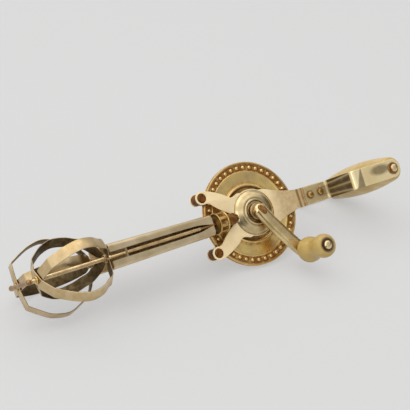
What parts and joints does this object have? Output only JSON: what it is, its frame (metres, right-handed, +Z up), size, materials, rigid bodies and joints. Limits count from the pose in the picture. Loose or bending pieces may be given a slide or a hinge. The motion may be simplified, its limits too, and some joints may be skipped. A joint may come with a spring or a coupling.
{
  "type": "hand crank mixer",
  "caption": "Hand cranked kitchen mixer lying on its side: beaded drive wheel, side crank with knob, meshing strip beaters on geared spindles, stirrup handle with a turned grip.",
  "frame": {"origin": "centre of the bounding box's bottom face, on the table that the mixer lies on", "axes": "+X from the beaters towards the handle along the mixer's length, +Z up from the table; the crank side faces -Y and up"},
  "size_m": [0.3014, 0.0996, 0.0694],
  "materials": {
    "pale_brass": "polished, lightly tarnished",
    "gold_brass": "polished, brown in the recesses",
    "aged_steel": "worn plating with a warm grey-gold tone",
    "brown_oxide": "dull brown oxide",
    "cream_plastic": "aged satin cream"
  },
  "bodies": {
    "frame": {"front_plate": "pale_brass", "rear_plate": "pale_brass", "post_upper": "brown_oxide", "post_lower": "brown_oxide", "spindle_bush_front": "brown_oxide", "spindle_bush_rear": "brown_oxide", "sheath": "aged_steel", "sheath_web_lower": "aged_steel", "sheath_web_upper": "aged_steel", "handle_strap_front": "pale_brass", "handle_strap_rear": "pale_brass", "grip": "cream_plastic", "grip_bolt": "pale_brass", "grip_nut": "pale_brass", "grip_washer_front": "brown_oxide", "grip_washer_rear": "brown_oxide", "neck_rivet_inner": "gold_brass", "neck_rivet_outer": "gold_brass", "foot_bar": "aged_steel"},
    "crank_wheel": {"wheel_rim": "gold_brass", "wheel_disc_front": "pale_brass", "wheel_disc_rear": "pale_brass", "drive_axle": "aged_steel", "hub_spacer_front": "brown_oxide", "hub_spacer_rear": "brown_oxide", "rear_axle_cap": "aged_steel", "crank_arm": "pale_brass", "crank_rivet": "brown_oxide", "knob_screw": "pale_brass"},
    "knob": {"knob": "cream_plastic"},
    "front_beater": {"spindle_front": "aged_steel", "pinion_front": "gold_brass", "beater_front_loop_a": "aged_steel", "beater_front_loop_b": "aged_steel", "tip_eyelet_front": "gold_brass", "beater_hub_front": "aged_steel"},
    "rear_beater": {"spindle_rear": "aged_steel", "pinion_rear": "gold_brass", "beater_rear_loop_a": "aged_steel", "beater_rear_loop_b": "aged_steel", "tip_eyelet_rear": "gold_brass", "beater_hub_rear": "aged_steel"}
  },
  "joints": [
    {"name": "wheel_spin", "type": "hinge", "parent": "frame", "child": "crank_wheel", "pos_m": [0.03392, 0.01428, 0.03109], "axis": [0.0028, -0.7873, 0.6165], "continuous": true},
    {"name": "front_beater_spin", "type": "hinge", "parent": "frame", "child": "front_beater", "pos_m": [0.00235, 0.00697, 0.03714], "axis": [0.9986, 0.0357, -0.0383], "continuous": true},
    {"name": "rear_beater_spin", "type": "hinge", "parent": "frame", "child": "rear_beater", "pos_m": [0.0023, 0.02177, 0.02555], "axis": [0.9989, -0.0414, 0.022], "continuous": true},
    {"name": "knob_spin", "type": "hinge", "parent": "crank_wheel", "child": "knob", "pos_m": [0.05771, -0.00892, 0.00134], "axis": [0.0028, -0.7873, 0.6165], "continuous": true}
  ],
  "couplings": [
    {"joint": "front_beater_spin", "follows": "wheel_spin", "ratio": -5},
    {"joint": "rear_beater_spin", "follows": "wheel_spin", "ratio": 5}
  ]
}
